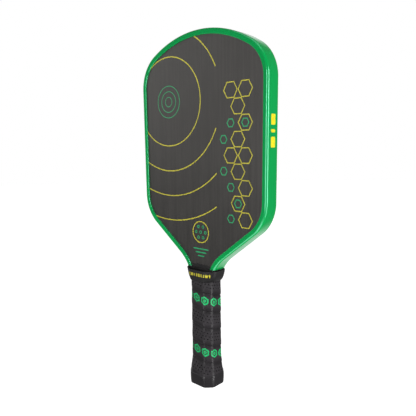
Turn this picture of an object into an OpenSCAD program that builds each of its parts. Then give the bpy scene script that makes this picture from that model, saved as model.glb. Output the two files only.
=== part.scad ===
// Pickleball paddle: a honeycomb panel with carbon faces, a U-section edge guard,
// a two-pallet octagon handle with a wound grip, a butt cap and a sliding rubber collar.
// It stands on its butt: Z runs from the butt end to the tip and the front face looks to -Y.

/* [Head outline] */
// Length from the butt end to the tip
paddle_length = 414; // [340:1:500]
// Width of the head across the shoulders
head_width = 192; // [155:0.2:230]
// Width of the head across the hips
hip_width = 189.6; // [152:0.2:228]
// Radius of the two shoulder corners
shoulder_radius = 45; // [35:1:55]
// Radius of the two hip corners
hip_radius = 45; // [35:1:55]
// Height from the shoulder corner centres up to the tip
shoulder_drop = 59; // [52:1:80]
// Height from the top of the collar up to the hip corner centres
hip_rise = 84; // [68:1:102]
// Slope of the throat flanks above the horizontal, in degrees
flank_angle = 37.2; // [30:0.1:45]
// Radius of the hollow curve from the flanks into the neck
throat_radius = 51; // [40:1:62]
// Width at which the hollow curves would run upright
neck_width = 28.8; // [24:0.2:32]

/* [Panel] */
// Thickness of the honeycomb core
core_thickness = 14.6; // [11:0.1:19]
// Thickness of each glue film
glue_thickness = 0.2; // [0.15:0.05:0.4]
// Thickness of each face sheet
skin_thickness = 0.7; // [0.4:0.1:1.2]
// Thickness of the carbon wall round the edge
wrap_thickness = 0.8; // [0.5:0.1:1.2]
// Width of the foam filling behind the edge wall
foam_width = 10; // [6:0.5:14]
// Width across the flats of a core cell
cell_width = 12.2; // [10:0.2:18]
// Thickness of the wall between two core cells
cell_wall = 0.8; // [0.6:0.1:1.4]
// Width of the tongue that runs down the handle
tongue_width = 21.6; // [17:0.2:22]

/* [Edge guard] */
// Wall of the guard on the rim of the panel
guard_wall = 1.8; // [1.2:0.1:2.6]
// Thickness of the guard's lips on the faces
lip_thickness = 1.4; // [0.6:0.1:1.6]
// Reach of the lips from the outermost edge
lip_reach = 6.5; // [5:0.1:8]
// Radius of the guard's outer edges
guard_radius = 2.6; // [1.5:0.1:3.2]
// Thickness of the tape between guard and panel
edge_tape_thickness = 0.2; // [0.1:0.05:0.4]
// Width of that tape
edge_tape_width = 12; // [8:0.5:14]

/* [Handle] */
// Height of the top of the collar above the butt end
handle_length = 142; // [118:1:171]
// Width of the handle pallets, flat to flat
pallet_width = 29.4; // [28:0.1:36]
// Thickness of each pallet over the tongue
pallet_cheek = 4.7; // [3.5:0.1:5.5]
// Cut of the octagon's corners, along each side
pallet_chamfer = 5.9; // [4.5:0.1:6.4]
// Play between the tongue and the pallets
tongue_play = 0.1; // [0.05:0.05:0.3]

/* [Grip tape] */
// Thickness of the tape
tape_thickness = 1.9; // [1.4:0.1:2.4]
// Rise of the winding per turn
tape_pitch = 21; // [16:0.5:26]
// Seam between neighbouring turns
tape_seam = 0.6; // [0.5:0.1:1.2]
// Width of the softened edges of the tape
tape_edge = 2.6; // [1.5:0.1:4]
// Height of the lower end of the tape
tape_bottom = 14.8; // [12:0.2:20]
// Height where the handle begins to flare towards the butt
flare_top = 34; // [26:1:42]
// How far the flare stands out at the lower end of the tape
flare_out = 2.1; // [1.2:0.1:3]

/* [Butt cap] */
// How far the widest part of the cap stands out from the pallets
cap_out = 4.8; // [4.1:0.1:5.8]
// How far the foot of the cap stands out from the pallets
cap_foot_out = 4.3; // [3.4:0.1:5.2]
// Height of the widest part of the cap
cap_wide_z = 10; // [8:0.5:12]
// Rounding of the foot
cap_rounding = 1; // [0.8:0.1:2.2]
// Thickness of the cap's floor
cap_floor = 3; // [2:0.1:5]
// Height of the cap's skirt under the tape
cap_skirt_z = 30; // [24:1:36]

/* [Collar] */
// Height of the collar
collar_height = 13.5; // [11:0.5:18]
// Width of the collar's mouth at the throat
collar_mouth_width = 46.6; // [42:0.2:54]
// Room from the guard's faces to the rim of the collar's mouth
collar_mouth_room = 7; // [6.6:0.1:8.6]
// Cut of the mouth's corners
collar_mouth_chamfer = 8.5; // [7:0.1:10]
// Wall of the collar at its mouth
collar_wall = 1; // [0.8:0.1:1.6]
// Wall of the collar at its lower edge
collar_edge = 0.6; // [0.5:0.1:1]
// Play between the collar and what it slides over
collar_play = 0.3; // [0.3:0.05:0.6]
// Height over which the collar hugs the grip
collar_hug = 5; // [4:0.5:7]
// Thickness of the finishing tape
finish_thickness = 0.2; // [0.1:0.05:0.3]
// Height of the finishing tape
finish_height = 4; // [3:0.5:6]

/* [Hidden] */

// Depths from the middle plane
core_y = core_thickness / 2;
film_y = core_y + glue_thickness;
face_y = film_y + skin_thickness;
guard_y = face_y + lip_thickness;
pallet_y = face_y + pallet_cheek;

// Distances inward from the outermost edge
panel_inset = guard_wall + edge_tape_thickness;
foam_inset = panel_inset + wrap_thickness;
core_inset = foam_inset + foam_width;

// Corner centres of the outline's right half, as [x, z]
shoulder = [head_width / 2 - shoulder_radius, paddle_length - shoulder_drop];
hip = [hip_width / 2 - hip_radius, handle_length + hip_rise];

// The tip's arc runs smoothly into the shoulder corners
tip_radius = (shoulder.x ^ 2 + shoulder_drop ^ 2 - shoulder_radius ^ 2)
  / (2 * (shoulder_drop - shoulder_radius));
tip = [0, paddle_length - tip_radius];
tip_angle = atan2(shoulder.y - tip.y, shoulder.x - tip.x);

// The sides touch the shoulder and hip corners
side = shoulder - hip;
side_angle = asin((hip_radius - shoulder_radius) / norm(side)) - atan2(side.x, side.y);

// The hollow curves touch the flanks
flank_normal = [sin(flank_angle), -cos(flank_angle)];
throat_x = neck_width / 2 + throat_radius;
throat_z = (flank_normal * hip + hip_radius + throat_radius - flank_normal.x * throat_x)
  / flank_normal.y;
throat = [throat_x, throat_z];

// Heights along the handle
collar_top = handle_length;
collar_bottom = collar_top - collar_height;
seat_gap = 0.6;
tape_short = 0.4;
tongue_short = 1;
pallet_top = collar_bottom + collar_hug + seat_gap;
tape_top = pallet_top - tape_short;
neck_z = pallet_top + seat_gap;
pallet_bottom = cap_floor;
tongue_bottom = cap_floor + tongue_short;

// How far a cutting solid runs past the face that it cuts
past = 1;

// Where the hollow curves end, as an angle of the outward normal
guard_end_angle = -asin((neck_z - throat.y) / throat_radius);
core_end_angle = -35;

// Arc steps, in degrees
corner_step = 5;
tip_step = 2.8;

// Right half of the outline from the tip down, as [x, z, angle of the outward normal]
function arc_stations(centre, radius, from, to, step) =
  let (n = ceil(abs(to - from) / step))
  [for (i = [0 : n])
    let (a = from + (to - from) * i / n)
    [centre.x + radius * cos(a), centre.y + radius * sin(a), a]];
function half_outline(end_angle) = concat(
  arc_stations(tip, tip_radius, 90, tip_angle, tip_step),
  drop_first(arc_stations(shoulder, shoulder_radius, tip_angle, side_angle, corner_step)),
  arc_stations(hip, hip_radius, side_angle, flank_angle - 90, corner_step),
  arc_stations(throat, -throat_radius, flank_angle - 90, end_angle, corner_step));
function drop_first(list) = [for (i = [1 : len(list) - 1]) list[i]];
function reverse(list) = [for (i = [len(list) - 1 : -1 : 0]) list[i]];
function mirror_stations(list) = [for (s = list) [-s.x, s.y, 180 - s.z]];
function outline(end_angle) = let (half = half_outline(end_angle))
  concat(reverse(mirror_stations(drop_first(half))), half);
function inset(stations, d) = [for (s = stations) [s.x - d * cos(s.z), s.y - d * sin(s.z)]];

head_path = outline(guard_end_angle);
core_path = outline(core_end_angle);

// Panel outline at an inset, with the tongue drawn in and up by the given thickness
function panel_points(d, shrink) =
  let (head = inset(head_path, d), half = tongue_width / 2 - shrink, z = head[0].y)
  concat([[-half, tongue_bottom + shrink], [-half, z]], head,
    [[half, z], [half, tongue_bottom + shrink]]);

// Octagon of the pallets, grown on every flat
function octagon(w, d, c) = [[w, d - c], [w - c, d], [c - w, d], [-w, d - c],
  [-w, c - d], [c - w, -d], [w - c, -d], [w, c - d]];
function handle_octagon(grow) = octagon(pallet_width / 2 + grow, pallet_y + grow,
  pallet_chamfer + grow * (2 - sqrt(2)));

// Core cells whose hexagon lies inside the core outline
cell_pitch = cell_width + cell_wall;
cell_radius = cell_width / sqrt(3);
core_points = inset(core_path, core_inset);
function edge_distance(p, a, b) =
  let (t = max(0, min(1, (p - a) * (b - a) / ((b - a) * (b - a)))))
  norm(p - a - t * (b - a));
function crossings(p, list) = len([for (i = [0 : len(list) - 1])
  let (a = list[i], b = list[(i + 1) % len(list)])
  if ((a.y > p.y) != (b.y > p.y) && p.x < a.x + (p.y - a.y) * (b.x - a.x) / (b.y - a.y)) 1]);
function clear_of_edges(p, list, room) = min([for (i = [0 : len(list) - 1])
  edge_distance(p, list[i], list[(i + 1) % len(list)])]) > room;
cell_rows = ceil(paddle_length / (cell_pitch * sqrt(3) / 2));
cell_columns = ceil(head_width / 2 / cell_pitch);
cell_centres = [for (row = [0 : cell_rows], column = [-cell_columns : cell_columns])
  let (p = [(column + (row % 2) / 2) * cell_pitch, row * cell_pitch * sqrt(3) / 2])
  if (crossings(p, core_points) % 2 == 1
    && clear_of_edges(p, core_points, cell_radius + cell_wall)) p];

// Plate of the XZ plane between two depths
module plate(y_from, y_to) {
  translate([0, y_to, 0])
    rotate([90, 0, 0])
      linear_extrude(y_to - y_from)
        children();
}

// Octagon prism of the handle between two heights
module handle_prism(grow, z_from, z_to) {
  translate([0, 0, z_from])
    linear_extrude(z_to - z_from)
      polygon(handle_octagon(grow));
}

// Thin slice of an octagon, as one end of a tapering shell
slice = 0.1;
module octagon_slice(points, z) {
  translate([0, 0, z])
    linear_extrude(slice)
      polygon(points);
}

module core_honeycomb() {
  color("#d8d4c4")
    plate(-core_y, core_y)
      difference() {
        polygon(core_points);
        for (p = cell_centres)
          translate(p)
            rotate(30)
              circle(r = cell_radius, $fn = 6);
      }
}

module foam_rim() {
  color("#e6dfc8")
    plate(-core_y, core_y)
      difference() {
        polygon(panel_points(foam_inset, wrap_thickness));
        polygon(core_points);
      }
}

module face_sheet(y_from, y_to) {
  color("#48453f")
    plate(y_from, y_to)
      polygon(panel_points(panel_inset, 0));
}

module front_skin() {
  face_sheet(-face_y, -film_y);
}

module rear_skin() {
  face_sheet(film_y, face_y);
}

module glue_film(y_from, y_to) {
  color("#c9b98a")
    plate(y_from, y_to)
      polygon(panel_points(foam_inset, wrap_thickness));
}

module front_glue_film() {
  glue_film(-film_y, -core_y);
}

module rear_glue_film() {
  glue_film(core_y, film_y);
}

module edge_wrap() {
  color("#33312f")
    plate(-film_y, film_y)
      difference() {
        polygon(panel_points(panel_inset, 0));
        polygon(panel_points(foam_inset, wrap_thickness));
      }
}

module edge_tape() {
  color("#b9c4bd")
    plate(-edge_tape_width / 2, edge_tape_width / 2)
      polygon(concat(inset(head_path, guard_wall), reverse(inset(head_path, panel_inset))));
}

// Section of the guard, as [distance inward, depth], from one lip round to the other
guard_arc_steps = 5;
lip_bevel = 0.4;
function guard_quarter() = [for (i = [0 : guard_arc_steps])
  let (a = 90 * i / guard_arc_steps)
  [guard_radius * (1 - sin(a)), guard_radius * cos(a) + guard_y - guard_radius]];
guard_half = concat(
  [[guard_wall, face_y], [lip_reach, face_y], [lip_reach, guard_y - lip_bevel],
    [lip_reach - lip_bevel, guard_y]],
  guard_quarter());
guard_section = concat(guard_half, [for (p = reverse(guard_half)) [p.x, -p.y]]);

// Solid swept from rings of points, with closed ends
module swept(rings) {
  count = len(rings[0]);
  last = len(rings) - 1;
  points = [for (ring = rings, p = ring) p];
  walls = [for (i = [0 : last - 1], j = [0 : count - 1])
    let (a = i * count + j, b = i * count + (j + 1) % count)
    each [[a, b, a + count], [b, b + count, a + count]]];
  start = [[for (j = [count - 1 : -1 : 0]) j]];
  end = [[for (j = [0 : count - 1]) last * count + j]];
  polyhedron(points, concat(start, walls, end));
}

module edge_guard() {
  color("#009a4e")
    swept([for (s = head_path)
      [for (p = guard_section) [s.x - p.x * cos(s.z), p.y, s.y - p.x * sin(s.z)]]]);
}

// One pallet: half of the octagon with its half of the tongue's pocket
module handle_shell(front) {
  color("#b79d6f")
    difference() {
      handle_prism(0, pallet_bottom, pallet_top);
      translate([-tongue_width / 2 - tongue_play, -face_y - tongue_play, pallet_bottom - past])
        cube([tongue_width + 2 * tongue_play, 2 * face_y + 2 * tongue_play, pallet_top]);
      translate([-pallet_width, front ? 0 : -2 * pallet_y, pallet_bottom - past])
        cube([2 * pallet_width, 2 * pallet_y, pallet_top]);
    }
}

module handle_shell_front() {
  handle_shell(true);
}

module handle_shell_rear() {
  handle_shell(false);
}

// How far the flared handle stands out from the pallets under the tape
function flare(z) = z >= flare_top ? 0 : flare_out * (flare_top - z) / (flare_top - tape_bottom);

cap_play = 0.1;
cap_rim_out = (cap_out + flare_out + tape_thickness) / 2;
module butt_cap() {
  color("#2a2a2c")
    difference() {
      union() {
        hull() {
          octagon_slice(handle_octagon(cap_foot_out - cap_rounding), 0);
          octagon_slice(handle_octagon(cap_foot_out), cap_rounding);
          octagon_slice(handle_octagon(cap_out), cap_wide_z);
          octagon_slice(handle_octagon(cap_rim_out), tape_bottom - slice);
        }
        hull() {
          octagon_slice(handle_octagon(flare(tape_bottom)), tape_bottom - slice);
          octagon_slice(handle_octagon(flare(cap_skirt_z)), cap_skirt_z - slice);
        }
      }
      handle_prism(cap_play, cap_floor, cap_skirt_z + past);
    }
}

// Point of the wound tape: along the octagon's edge by u in turns, at height z and lift out
function around(u, z, lift) =
  let (points = handle_octagon(flare(z) + lift), s = 8 * (u - floor(u)), i = floor(s))
  let (p = points[i] + (points[(i + 1) % 8] - points[i]) * (s - i))
  [p.x, p.y, z];

// The tape winds down to the right on the front; its ends are cut level with the handle
tape_width = tape_pitch - tape_seam;
tape_end_width = 2;
tape_side = 0.6 * tape_thickness;
rings_per_turn = 24;
tape_turns = (tape_top - tape_bottom + tape_width - 2 * tape_end_width) / tape_pitch;
tape_rings = round(tape_turns * rings_per_turn);
tape_play = 0.05;
function tape_z(z) = max(tape_bottom, min(tape_top, z));
function tape_ring(i) =
  let (u = -i / rings_per_turn)
  let (mid = tape_bottom - tape_width / 2 + tape_end_width + tape_pitch * i / rings_per_turn)
  let (low = tape_z(mid - tape_width / 2), high = tape_z(mid + tape_width / 2))
  let (soft = min(tape_edge, (high - low) / 3))
  [around(u, low, tape_play), around(u, low, tape_side),
    around(u, low + soft, tape_thickness), around(u, high - soft, tape_thickness),
    around(u, high, tape_side), around(u, high, tape_play)];
tape_strip = [for (i = [0 : tape_rings]) tape_ring(i)];

// Least gap between neighbouring turns, over the edges of the strip
tape_gap = min([for (i = [0 : tape_rings - rings_per_turn])
  tape_strip[i + rings_per_turn][0].z - tape_strip[i][5].z]);
echo(tape_gap = tape_gap);

module grip_tape() {
  color("#3a393b")
    swept(tape_strip);
}

module finishing_tape() {
  color("#1c1c1e")
    difference() {
      handle_prism(tape_thickness + finish_thickness, tape_top - finish_height, tape_top);
      handle_prism(tape_thickness, tape_top - finish_height - past, tape_top + past);
    }
}

// The collar hugs the grip at its lower edge and opens towards the throat
collar_grow = tape_thickness + finish_thickness + collar_play;
mouth_w = collar_mouth_width / 2;
mouth_d = guard_y + collar_mouth_room;
module grip_collar() {
  color("#222224")
    difference() {
      hull() {
        octagon_slice(handle_octagon(collar_grow + collar_edge), collar_bottom);
        octagon_slice(octagon(mouth_w, mouth_d, collar_mouth_chamfer), collar_top - slice);
      }
      handle_prism(collar_grow, collar_bottom - past, collar_bottom + collar_hug + past);
      hull() {
        octagon_slice(handle_octagon(collar_grow), collar_bottom + collar_hug);
        octagon_slice(octagon(mouth_w - collar_wall, mouth_d - collar_wall,
          collar_mouth_chamfer - collar_wall * (2 - sqrt(2))), collar_top);
      }
    }
}

core_honeycomb();
foam_rim();
front_skin();
rear_skin();
front_glue_film();
rear_glue_film();
edge_wrap();
edge_tape();
edge_guard();
handle_shell_front();
handle_shell_rear();
butt_cap();
grip_tape();
finishing_tape();
grip_collar();
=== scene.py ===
import math

import bmesh
import bpy
from mathutils import Matrix, Vector


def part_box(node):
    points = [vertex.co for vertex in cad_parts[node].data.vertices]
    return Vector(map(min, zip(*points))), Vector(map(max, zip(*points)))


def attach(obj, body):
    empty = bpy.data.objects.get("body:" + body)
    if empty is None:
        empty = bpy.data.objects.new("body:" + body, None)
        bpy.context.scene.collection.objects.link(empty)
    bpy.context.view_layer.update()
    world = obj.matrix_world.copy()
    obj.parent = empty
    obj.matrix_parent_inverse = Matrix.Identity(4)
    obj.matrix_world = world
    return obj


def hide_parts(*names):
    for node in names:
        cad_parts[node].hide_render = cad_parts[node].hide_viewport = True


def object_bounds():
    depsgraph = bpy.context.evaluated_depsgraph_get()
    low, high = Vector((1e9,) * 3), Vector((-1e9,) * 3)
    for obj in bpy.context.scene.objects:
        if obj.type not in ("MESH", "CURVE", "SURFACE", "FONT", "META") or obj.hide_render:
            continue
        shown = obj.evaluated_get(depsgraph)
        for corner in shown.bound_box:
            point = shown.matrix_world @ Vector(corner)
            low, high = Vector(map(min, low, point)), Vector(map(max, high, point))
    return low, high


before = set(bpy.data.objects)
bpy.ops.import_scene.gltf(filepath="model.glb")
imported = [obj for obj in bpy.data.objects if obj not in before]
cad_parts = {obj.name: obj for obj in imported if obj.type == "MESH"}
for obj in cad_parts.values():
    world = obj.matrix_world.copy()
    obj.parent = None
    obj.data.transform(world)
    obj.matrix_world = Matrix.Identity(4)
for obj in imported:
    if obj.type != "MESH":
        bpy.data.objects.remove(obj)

bl_info = {
    "name": "Pickleball paddle",
    "version": (1, 0, 0),
    "blender": (4, 5, 0),
    "location": "View3D > Sidebar > Paddle",
    "description": "Models and finishes a pickleball paddle around its packed frame",
    "category": "Object",
}

MM = 0.001
# Distance within which a point counts as at a place, and distance within which points are merged
NEAR = 0.01 * MM
MERGED = 0.002 * MM
# Least part of a face's normal along the axis that the face is said to look along
FACING = 0.9
CAD_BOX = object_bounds()
GUARD_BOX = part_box("edge_guard")
SKIN_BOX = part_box("front_skin")
PALLET_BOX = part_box("handle_shell_front")
TAPE_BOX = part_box("grip_tape")
CAP_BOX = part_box("butt_cap")
COLLAR_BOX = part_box("grip_collar")

FACE_Y = -SKIN_BOX[0][1]
GUARD_Y = GUARD_BOX[1][1]
TIP_Z = GUARD_BOX[1][2]
GUARD_END_Z = GUARD_BOX[0][2]
HEAD_HALF = GUARD_BOX[1][0]
PALLET_X = PALLET_BOX[1][0]
PALLET_Y = -PALLET_BOX[0][1]


# Sizes and colours that a user would change

class OutlineSizes(bpy.types.PropertyGroup):
    """Shape of the head's outline"""
    shoulder_radius: bpy.props.FloatProperty(
        name="Shoulder radius", description="Radius of the upper corners",
        default=45 * MM, unit="LENGTH")
    shoulder_drop: bpy.props.FloatProperty(
        name="Shoulder drop", description="Height from the upper corner centres to the tip",
        default=59 * MM, unit="LENGTH")
    hip_radius: bpy.props.FloatProperty(
        name="Hip radius", description="Radius of the lower corners",
        default=45 * MM, unit="LENGTH")
    hip_height: bpy.props.FloatProperty(
        name="Hip height", description="Height of the lower corner centres above the butt",
        default=226 * MM, unit="LENGTH")
    hip_width: bpy.props.FloatProperty(
        name="Hip width", description="Width of the head across the lower corners",
        default=189.6 * MM, unit="LENGTH")
    flank_angle: bpy.props.FloatProperty(
        name="Flank angle", description="Slope of the throat flanks above the horizontal",
        default=math.radians(37.2), subtype="ANGLE")
    throat_radius: bpy.props.FloatProperty(
        name="Throat radius", description="Radius of the hollow curves into the neck",
        default=51 * MM, unit="LENGTH")
    neck_width: bpy.props.FloatProperty(
        name="Neck width", description="Width at which the hollow curves would run upright",
        default=28.8 * MM, unit="LENGTH")
    lip_reach: bpy.props.FloatProperty(
        name="Lip reach", description="Reach of the guard's lips over the faces",
        default=6.5 * MM, unit="LENGTH")
    guard_wall: bpy.props.FloatProperty(
        name="Guard wall", description="Wall of the guard on the rim of the panel",
        default=1.8 * MM, unit="LENGTH")
    guard_radius: bpy.props.FloatProperty(
        name="Guard radius", description="Radius of the guard's outer edges",
        default=2.6 * MM, unit="LENGTH")
    lip_rounding: bpy.props.FloatProperty(
        name="Lip rounding", description="Rounding of the lips' edges on the faces",
        default=0.85 * MM, unit="LENGTH")


class GripSizes(bpy.types.PropertyGroup):
    """Shape of the handle and its wound tape"""
    chamfer: bpy.props.FloatProperty(
        name="Octagon cut", description="Cut of the handle octagon's corners",
        default=5.9 * MM, unit="LENGTH")
    ridge_radius: bpy.props.FloatProperty(
        name="Ridge radius", description="Rounding of the ridges of the wound grip",
        default=5.5 * MM, unit="LENGTH")
    pitch: bpy.props.FloatProperty(
        name="Pitch", description="Rise of the winding per turn",
        default=21 * MM, unit="LENGTH")
    seam_height: bpy.props.FloatProperty(
        name="Seam height", description="Height of one lower edge of the tape at mid front",
        default=96.5 * MM, unit="LENGTH")
    width: bpy.props.FloatProperty(
        name="Tape width", description="Width of the tape, overlap included",
        default=25 * MM, unit="LENGTH")
    thickness: bpy.props.FloatProperty(
        name="Tape thickness", description="Thickness of the tape on a flat",
        default=1.8 * MM, unit="LENGTH")
    overlap_rise: bpy.props.FloatProperty(
        name="Overlap rise", description="How far the lower edge stands up where it overlaps",
        default=0.32 * MM, unit="LENGTH")
    flare_top: bpy.props.FloatProperty(
        name="Flare top", description="Height where the handle begins to flare to the butt",
        default=34 * MM, unit="LENGTH")
    flare_out: bpy.props.FloatProperty(
        name="Flare", description="How far the flare stands out at the end of the tape",
        default=2.1 * MM, unit="LENGTH")
    hole_size: bpy.props.FloatProperty(
        name="Hole size", description="Width of the vent holes in the tape",
        default=1.6 * MM, unit="LENGTH")


class PrintSizes(bpy.types.PropertyGroup):
    """Printed lines and shapes"""
    line: bpy.props.FloatProperty(
        name="Line", description="Width of the long printed lines",
        default=1.25 * MM, unit="LENGTH")
    stroke: bpy.props.FloatProperty(
        name="Stroke", description="Width of the strokes of the printed shapes",
        default=0.95 * MM, unit="LENGTH")
    film: bpy.props.FloatProperty(
        name="Ink film", description="Thickness of the ink above the surface",
        default=0.05 * MM, unit="LENGTH")
    grip_stroke: bpy.props.FloatProperty(
        name="Grip stroke", description="Width of the strokes printed on the grip",
        default=1.5 * MM, unit="LENGTH")


class FinishColours(bpy.types.PropertyGroup):
    """Base colours, in linear light"""
    carbon: bpy.props.FloatVectorProperty(
        name="Carbon", description="Raw carbon face",
        default=(0.0155, 0.0145, 0.0133), subtype="COLOR")
    guard: bpy.props.FloatVectorProperty(
        name="Guard", description="Edge guard",
        default=(0.0, 0.296, 0.059), subtype="COLOR")
    rubber: bpy.props.FloatVectorProperty(
        name="Rubber", description="Collar and neck band",
        default=(0.0066, 0.0061, 0.0066), subtype="COLOR")
    grip: bpy.props.FloatVectorProperty(
        name="Grip", description="Grip tape",
        default=(0.0195, 0.0172, 0.0196), subtype="COLOR")
    cap: bpy.props.FloatVectorProperty(
        name="Cap", description="Butt cap",
        default=(0.0192, 0.0175, 0.0194), subtype="COLOR")
    yellow: bpy.props.FloatVectorProperty(
        name="Yellow ink", description="Yellow print on the faces and the collar",
        default=(0.56, 0.50, 0.03), subtype="COLOR")
    green: bpy.props.FloatVectorProperty(
        name="Green ink", description="Green print on the faces",
        default=(0.012, 0.36, 0.13), subtype="COLOR")
    guard_yellow: bpy.props.FloatVectorProperty(
        name="Guard ink", description="Yellow print on the guard",
        default=(0.71, 0.64, 0.003), subtype="COLOR")
    grip_green: bpy.props.FloatVectorProperty(
        name="Grip ink", description="Green print on the grip",
        default=(0.004, 0.44, 0.13), subtype="COLOR")


class StageSizes(bpy.types.PropertyGroup):
    """Camera and floor"""
    azimuth: bpy.props.FloatProperty(
        name="Azimuth", description="Direction of the camera round the handle",
        default=math.radians(42.8306), subtype="ANGLE")
    distance: bpy.props.FloatProperty(
        name="Distance", description="Level distance of the camera from the handle's axis",
        default=564.09 * MM, unit="LENGTH")
    height: bpy.props.FloatProperty(
        name="Height", description="Height of the camera above the butt",
        default=287.075 * MM, unit="LENGTH")
    yaw: bpy.props.FloatProperty(
        name="Yaw", description="Turn of the camera away from the handle's axis",
        default=math.radians(-0.3333), subtype="ANGLE")
    pitch: bpy.props.FloatProperty(
        name="Pitch", description="Downward tilt of the camera",
        default=math.radians(7.4338), subtype="ANGLE")
    roll: bpy.props.FloatProperty(
        name="Roll", description="Turn of the camera about its own line of sight",
        default=math.radians(-0.6325), subtype="ANGLE")
    focal_pixels: bpy.props.FloatProperty(
        name="Focal length", description="Focal length in pixels of the 416 pixel frame",
        default=485.4)
    floor_drop: bpy.props.FloatProperty(
        name="Floor drop", description="Depth of the floor below the butt of the held paddle",
        default=0.8, unit="LENGTH")
    floor_radius: bpy.props.FloatProperty(
        name="Floor radius", description="Radius of the floor",
        default=14.0, unit="LENGTH")


SETTINGS = {"paddle_outline": OutlineSizes, "paddle_grip": GripSizes, "paddle_print": PrintSizes,
            "paddle_colours": FinishColours, "paddle_stage": StageSizes}


def settings(group):
    """Settings of one group: outline, grip, print, colours or stage."""
    return getattr(bpy.context.scene, "paddle_" + group)


# Help with objects and edit mode

def object_mode():
    """Leaves edit mode."""
    bpy.ops.object.mode_set(mode="OBJECT")


def edit_mode():
    """Opens the active piece in edit mode."""
    bpy.ops.object.mode_set(mode="EDIT")


def select_all():
    """Selects the whole mesh."""
    bpy.ops.mesh.select_all(action="SELECT")


def extrude(x, y, z):
    """Extrudes what is selected along a way."""
    bpy.ops.mesh.extrude_region_move(TRANSFORM_OT_translate={"value": (x, y, z)})


def round_corners(width, segments):
    """Bevels the selected points."""
    bpy.ops.mesh.bevel(offset=width, segments=segments, affect="VERTICES")


def add_piece(name, primitive, **sizes):
    """Adds a primitive with nothing else selected and opens it in edit mode."""
    if bpy.context.mode != "OBJECT":
        object_mode()
    bpy.ops.object.select_all(action="DESELECT")
    primitive(**sizes)
    piece = bpy.context.object
    piece.name = name
    piece.data.name = name
    edit_mode()
    bpy.ops.mesh.select_mode(type="VERT")
    return piece


def stretch_piece(piece, x, y):
    """Scales a flat primitive along its own sides, and applies its place and turn."""
    object_mode()
    piece.scale = (x, y, 1)
    bpy.ops.object.transform_apply(location=True, rotation=True, scale=True)


def select_points(piece, test):
    """Selects the points for which the test holds, and the edges and faces between them."""
    bpy.ops.mesh.select_mode(type="VERT")
    mesh = bmesh.from_edit_mesh(piece.data)
    for element in [*mesh.faces, *mesh.edges]:
        element.select_set(False)
    for point in mesh.verts:
        point.select_set(bool(test(point.co)))
    mesh.select_flush_mode()
    bmesh.update_edit_mesh(piece.data)


def pick(piece, elements, test):
    """Selects the edges or faces that pass the test, and no others."""
    for element in elements:
        element.select_set(False)
    for element in elements:
        element.select_set(bool(test(element)))
    bmesh.update_edit_mesh(piece.data)


def select_faces(piece, test):
    """Selects the faces for which a test of their centre and themselves holds."""
    bpy.ops.mesh.select_mode(type="FACE")
    faces = bmesh.from_edit_mesh(piece.data).faces
    pick(piece, faces, lambda face: test(face.calc_center_median(), face))


def bridge_rims(piece):
    """Joins the two open rims of a piece."""
    bpy.ops.mesh.select_mode(type="EDGE")
    pick(piece, bmesh.from_edit_mesh(piece.data).edges, lambda edge: edge.is_boundary)
    bpy.ops.mesh.bridge_edge_loops()


def move_points(piece, place):
    """Moves each point of a piece to the place that a function gives for it."""
    for point in piece.data.vertices:
        point.co = place(point.co)
    piece.data.update()


def apply_modifier(piece, kind, **values):
    """Adds a modifier and applies it."""
    bpy.context.view_layer.objects.active = piece
    modifier = piece.modifiers.new(kind.title(), kind)
    for key, value in values.items():
        setattr(modifier, key, value)
    bpy.ops.object.modifier_apply(modifier=modifier.name)


def close_piece(piece, outward=True):
    """Leaves edit mode with doubles merged and normals outward, and puts the origin in place."""
    if bpy.context.mode != "EDIT_MESH":
        edit_mode()
    select_all()
    bpy.ops.mesh.remove_doubles(threshold=MERGED)
    if outward:
        bpy.ops.mesh.normals_make_consistent(inside=False)
    object_mode()
    bpy.ops.object.transform_apply(location=True, rotation=True, scale=True)
    return piece


def finish_piece(piece, body, material, replaced=(), smooth=35):
    """Shades a piece, gives it its finish and hands it to its body."""
    bpy.ops.object.select_all(action="DESELECT")
    piece.select_set(True)
    bpy.context.view_layer.objects.active = piece
    bpy.ops.object.shade_smooth_by_angle(angle=math.radians(smooth))
    piece.data.materials.clear()
    piece.data.materials.append(material)
    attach(piece, body)
    if replaced:
        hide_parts(*replaced)


def join_pieces(name, pieces):
    """Joins finished meshes into one object."""
    bpy.ops.object.select_all(action="DESELECT")
    for piece in pieces:
        piece.select_set(True)
    bpy.context.view_layer.objects.active = pieces[0]
    bpy.ops.object.join()
    joined = bpy.context.object
    joined.name = name
    joined.data.name = name
    return joined


def copy_to(piece, name, place):
    """Copy of a shape with its own mesh, put at a place."""
    copy = piece.copy()
    copy.data = piece.data.copy()
    copy.name = name
    bpy.context.scene.collection.objects.link(copy)
    copy.data.transform(Matrix.Translation(place))
    return copy


def repeat_shape(pattern, places):
    """Copies of a flat shape at (x, z) places; the pattern itself goes."""
    copies = [copy_to(pattern, pattern.name + "_copy", (x, 0, z)) for x, z in places]
    mesh = pattern.data
    bpy.data.objects.remove(pattern)
    bpy.data.meshes.remove(mesh)
    return copies


# Head outline

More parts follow.
